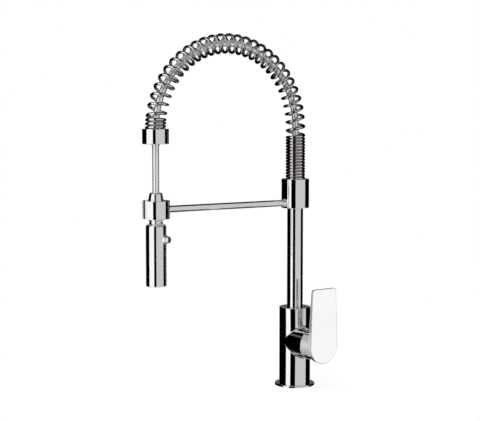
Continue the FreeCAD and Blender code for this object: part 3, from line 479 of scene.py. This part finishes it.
# Panels and flags round the tap, seen only in reflections.
# A wall's row: name, first and last angle in degrees rightwards of the camera, low and high edge, shade.
panels = {"distance": 2.5, "low": -3.3, "high": 4.5, "span": 12, "centre": (0, -0.126), "camera": -34.46}
shades = {"pale": (0.65, 0.63, 0.61), "soft": (0.46, 0.46, 0.46), "dim": (0.11, 0.11, 0.105),
          "black": (0.0, 0.0, 0.0), "overhead": (0.06, 0.06, 0.06), "below": (0.03, 0.03, 0.03),
          "ceiling": (0.30, 0.30, 0.30), "ground": (0.42, 0.42, 0.42)}
walls = [("panelBehind", 161, 199, -1.3, 0.36, "soft"),
         ("flagBehind", 149, 208, 0.36, 0.85, "dim"),
         ("flagBehindRight", 149, 161.2, -0.66, 0.37, "black"),
         ("flagBehindLow", 198.8, 208, -0.66, 0.37, "black"),
         ("flagBehindHigh", 149, 208, 0.84, 4.6, "black"),
         ("panelBehindLow", 149, 208, -3.4, -1.28, "black"),
         ("panelLowRight", 149, 161.2, -1.3, -0.64, "soft"),
         ("panelLowLeft", 198.8, 208, -1.3, -0.64, "soft"),
         ("flagBehindLeft", -159, -109, -0.66, 4.6, "black"),
         ("panelBackLeft", -159, -126, -1.6, -0.64, "soft"),
         ("flagBackLeftLow", -159, -109, -3.4, -1.58, "black"),
         ("flagLeftMiddle", -127, -95, -1.6, -0.64, "black"),
         ("flagLeft", -115, -65, -0.66, 4.6, "black"),
         ("panelFarLeft", -96, -72, -1.6, -0.64, "soft"),
         ("flagLeftLow", -115, -65, -3.4, -1.58, "black"),
         ("flagFrontLeft", -73, -29, -3.4, 4.6, "black"),
         ("flagFront", -35, 3.5, -3.4, 4.6, "black"),
         ("panelRightNear", 3, 50, -1.2, 1.6, "pale"),
         ("flagAbovePanel", 0, 50, 1.58, 4.6, "black"),
         ("flagBelowPanel", 0, 50, -3.4, -1.18, "black"),
         ("panelRight", 46, 88.8, -1.2, 1.6, "pale"),
         ("flagAboveRight", 46, 92, 1.58, 4.6, "black"),
         ("flagBelowRight", 46, 92, -3.4, -1.18, "black"),
         ("flagRight", 88.5, 154, -0.66, 4.6, "black"),
         ("panelBackRight", 88.5, 154, -1.6, -0.64, "soft"),
         ("flagBackRightLow", 88.5, 154, -3.4, -1.58, "black")]
builtPanels = {}


def glowFinish(name, colour):
    finish = bpy.data.materials.new(name)
    finish.use_nodes = True
    tree = finish.node_tree
    tree.nodes.clear()
    glow = tree.nodes.new("ShaderNodeEmission")
    setInputs(glow, {"Color": (*colour, 1), "Strength": 1.0})
    out = tree.nodes.new("ShaderNodeOutputMaterial")
    joinNodes(tree, glow.outputs["Emission"], out.inputs["Surface"])
    return finish


def addPanel(name, colour):
    clearSelection()
    bpy.ops.mesh.primitive_plane_add(size=1.0)
    panel = bpy.context.active_object
    panel.name = name
    panel.data.materials.append(glowFinish(name, colour))
    panel.visible_camera = False
    panel.visible_diffuse = False
    panel.visible_shadow = False
    builtPanels[name] = panel
    return panel


def standPanel(panel, spots, low, high):
    # an upright panel over two spots on the floor
    fromSpot, toSpot = spots
    run = Vector((toSpot[0] - fromSpot[0], toSpot[1] - fromSpot[1]))
    panel.location = ((fromSpot[0] + toSpot[0]) / 2, (fromSpot[1] + toSpot[1]) / 2, (low + high) / 2)
    panel.rotation_euler = (math.radians(90), 0, math.atan2(run.y, run.x))
    panel.scale = (run.length, high - low, 1)


def wallSpots(fromAngle, toAngle, distance):
    # the ends of a wall that faces the tap between two angles
    middle = (fromAngle + toAngle) / 2
    spots = []
    for angle in (fromAngle, toAngle):
        turn = math.radians(panels["camera"] + angle)
        reach = distance / math.cos(math.radians(angle - middle))
        across = panels["centre"][0] + reach * math.cos(turn)
        spots.append((across, panels["centre"][1] + reach * math.sin(turn)))
    return spots


for name, fromAngle, toAngle, low, high, shade in walls:
    panel = addPanel(name, shades[shade])
    standPanel(panel, wallSpots(fromAngle, toAngle, panels["distance"]), low, high)
for name, edge, shade in [("flagOverhead", "high", "overhead"), ("flagBelow", "low", "below")]:
    panel = addPanel(name, shades[shade])
    panel.location = (*panels["centre"], panels[edge])
    panel.scale = (panels["span"], panels["span"], 1)

# Four black curtains beyond the walls close the room
curtains = {"names": ["curtainRight", "curtainBack", "curtainLeft", "curtainFront"],
            "distance": 4.2, "turn": 90, "halfAngle": 48, "low": -4.0, "high": 5.0}
for index, name in enumerate(curtains["names"]):
    middle = curtains["turn"] * index
    spots = wallSpots(middle - curtains["halfAngle"], middle + curtains["halfAngle"], curtains["distance"])
    standPanel(addPanel(name, shades["black"]), spots, curtains["low"], curtains["high"])

# A white panel close by on the spray's side
softPanel = {"spots": [(-0.162, -0.674), (0.19, -0.51)], "low": -0.4, "high": 0.85,
             "colour": (1.04, 1.04, 1.04)}
panelLeft = addPanel("panelLeft", softPanel["colour"])
standPanel(panelLeft, softPanel["spots"], softPanel["low"], softPanel["high"])

# Small cards, each seen by one piece only: the lever's paddle, hub, edge and back,
# and the upper and lower side of the body's barrel and of the arm.
# The hub's card fades with its height and is brightest level with the hub's axis.
hubFade = {"low": -0.06, "high": 0.092, "tint": (1.0, 0.992, 0.985),
           "stops": [(0.005, 0.34), (0.025, 0.46), (0.049, 0.51), (0.06, 0.62),
                     (0.071, 0.71), (0.084, 0.62), (0.092, 0.58)]}
armCards = {"from": 36, "to": 100, "distance": 1.5}
armSpots = wallSpots(armCards["from"], armCards["to"], armCards["distance"])
cards = [
    ("cardPaddle", "lever_handle", [(0.52, 0.14), (0.30, 0.42)], -0.25, 0.3, (0.38, 0.4, 0.42)),
    ("cardHub", "lever_handle", [(-0.03, -0.041), (0.06, -0.041)],
     hubFade["low"], hubFade["high"], hubFade["tint"]),
    ("cardHubLow", "lever_handle", [(-0.03, -0.026), (-0.03, -0.041)], -0.08, 0.05, (0.55, 0.545, 0.54)),
    ("cardHubTop", "lever_handle", [(-0.06, -0.041), (0.036, -0.041)], 0.0925, 0.22, (0.5, 0.495, 0.49)),
    ("cardEdge", "lever_handle", [(0.0365, -0.041), (0.06, -0.041)], 0.0925, 0.17, (0.34, 0.335, 0.33)),
    ("cardBack", "lever_handle", [(0.045, 0.0), (0.045, 0.05)], 0.115, 0.26, (0.16, 0.15, 0.145)),
    ("cardBarrelHigh", "mixer_body", [(-1.9, -1.45), (-2.2, -0.75)], 1.1, 1.42, (0.12, 0.115, 0.11)),
    ("cardBarrelLow", "mixer_body", [(-1.2, -2.1), (-2.25, -0.8)], -2.0, -1.63, (0.12, 0.115, 0.11)),
    ("cardArmHigh", "support_arm", armSpots, 1.07, 2.7, shades["pale"]),
    ("cardArmLow", "support_arm", armSpots, -1.6, -0.6, shades["pale"]),
]


def clearGlow(finish):
    # the card adds its light and lets the rest through
    tree = finish.node_tree
    clear = tree.nodes.new("ShaderNodeBsdfTransparent")
    both = tree.nodes.new("ShaderNodeAddShader")
    joinNodes(tree, tree.nodes["Emission"].outputs["Emission"], both.inputs[0])
    joinNodes(tree, clear.outputs["BSDF"], both.inputs[1])
    joinNodes(tree, both.outputs["Shader"], tree.nodes["Material Output"].inputs["Surface"])


def fadeGlow(finish, fade):
    tree = finish.node_tree
    split = tree.nodes.new("ShaderNodeSeparateXYZ")
    joinNodes(tree, tree.nodes.new("ShaderNodeTexCoord").outputs["Generated"], split.inputs["Vector"])
    ramp = tree.nodes.new("ShaderNodeValToRGB")
    marks = ramp.color_ramp.elements
    while len(marks) < len(fade["stops"]):
        marks.new(1.0)
    for mark, (height, level) in zip(marks, fade["stops"]):
        mark.position = (height - fade["low"]) / (fade["high"] - fade["low"])
        mark.color = (*(level * part for part in fade["tint"]), 1)
    joinNodes(tree, split.outputs["Y"], ramp.inputs["Fac"])
    joinNodes(tree, ramp.outputs["Color"], tree.nodes["Emission"].inputs["Color"])


def showOnlyTo(card, piece):
    onlyLit = bpy.data.collections.new(card.name + "Only")
    onlyLit.objects.link(piece)
    card.light_linking.receiver_collection = onlyLit


def leaveOut(panel, pieces):
    unlit = bpy.data.collections.new(panel.name + "Unlit")
    for piece in pieces:
        unlit.objects.link(piece)
    for entry in unlit.collection_objects:
        entry.light_linking.link_state = "EXCLUDE"
    panel.light_linking.receiver_collection = unlit


for name, lit, spots, low, high, colour in cards:
    card = addPanel(name, colour)
    standPanel(card, spots, low, high)
    clearGlow(card.data.materials[0])
    showOnlyTo(card, frame["nodes"][lit])
fadeGlow(builtPanels["cardHub"].data.materials[0], hubFade)

# The low soft panels aren't seen by the spring, nor the one behind the hub's cards by the lever
leverHandle = frame["nodes"]["lever_handle"]
leaveOut(builtPanels["panelBackLeft"], [leverHandle, springWire])
for name in ("panelLowRight", "panelLowLeft", "panelFarLeft", "panelBackRight"):
    leaveOut(builtPanels[name], [springWire])

# A pale ceiling and ground aren't seen by the pieces that stay dark. The body sees the ceiling,
# the ground at the back and two strips of ground of its own.
bodyPiece = frame["nodes"]["mixer_body"]
darkPieces = [springWire, leverHandle, frame["nodes"]["support_arm"], frame["nodes"]["diverter_button"]]
levels = [("panelCeiling", "ceiling", 2.6, (-4.5, -4.6), (4.5, 4.4), "most"),
          ("panelGroundRight", "ground", -0.9, (-0.3, -4.6), (4.5, 4.4), "notBody"),
          ("panelGroundBack", "ground", -0.9, (-4.5, 0.6), (-0.3, 4.4), "most"),
          ("panelGroundNear", "ground", -0.9, (-0.3, -0.95), (0.6, 0.6), "body"),
          ("panelGroundFront", "ground", -0.9, (-0.3, -4.6), (4.5, -1.35), "body")]
for name, shade, height, low, high, seenBy in levels:
    panel = addPanel(name, shades[shade])
    panel.location = ((low[0] + high[0]) / 2, (low[1] + high[1]) / 2, height)
    panel.scale = (high[0] - low[0], high[1] - low[1], 1)
    clearGlow(panel.data.materials[0])
    if seenBy == "body":
        showOnlyTo(panel, bodyPiece)
    else:
        leaveOut(panel, darkPieces + ([bodyPiece] if seenBy == "notBody" else []))

# A card low beyond the lever, for its paddle seen from above
lowCard = {"place": (0.95, -0.1, -0.7), "size": (1.5, 2.4, 1), "colour": (0.5, 0.5, 0.5)}
cardLow = addPanel("cardLow", lowCard["colour"])
cardLow.location = lowCard["place"]
cardLow.scale = lowCard["size"]
clearGlow(cardLow.data.materials[0])
showOnlyTo(cardLow, leverHandle)
print("studio set:", len(builtPanels), "panels, flags, curtains and cards")

# Two soft lamps for the hose, plastics and shadow
lampAim = Vector((0, -0.12, 0.25))
lamps = [("keyLamp", (1.6, -1.9, 2.6), 60.0, 1.6), ("fillLamp", (-1.8, -1.0, 2.2), 30.0, 1.8)]
for name, place, power, size in lamps:
    lampData = bpy.data.lights.new(name, "AREA")
    lampData.energy = power
    lampData.size = size
    lampPiece = bpy.data.objects.new(name, lampData)
    bpy.context.scene.collection.objects.link(lampPiece)
    lampPiece.location = place
    lampPiece.rotation_euler = (lampAim - Vector(place)).to_track_quat("-Z", "Y").to_euler()
    lampPiece.visible_glossy = False
print("lamps hung:", len(lamps))
